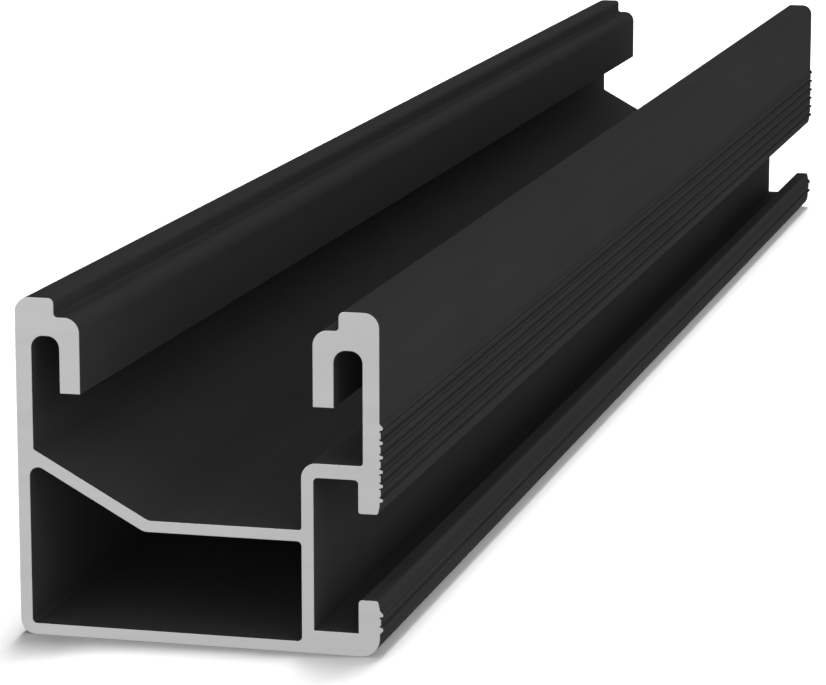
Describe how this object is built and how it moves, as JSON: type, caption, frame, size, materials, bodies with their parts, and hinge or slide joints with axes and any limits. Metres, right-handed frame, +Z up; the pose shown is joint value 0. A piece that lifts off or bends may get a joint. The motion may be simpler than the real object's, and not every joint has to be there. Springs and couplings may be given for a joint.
{
  "type": "solar mounting rail",
  "caption": "Short length of black anodised aluminium mounting rail for solar panels, with a lipped top channel, a lipped side channel with grip teeth and a hollow chamber.",
  "frame": {"origin": "centre of the bounding box at the underside of the base", "axes": "+Y along the rail, away from the end that faces the viewer; +Z up out of the top channel; +X towards the side channel and its grip teeth"},
  "size_m": [0.0394, 0.3, 0.036],
  "materials": {
    "rail": "black anodised, satin, with extrusion lines along it; both ends are bare saw-cut metal"
  },
  "bodies": {
    "root": {"rail": "rail"}
  },
  "joints": []
}
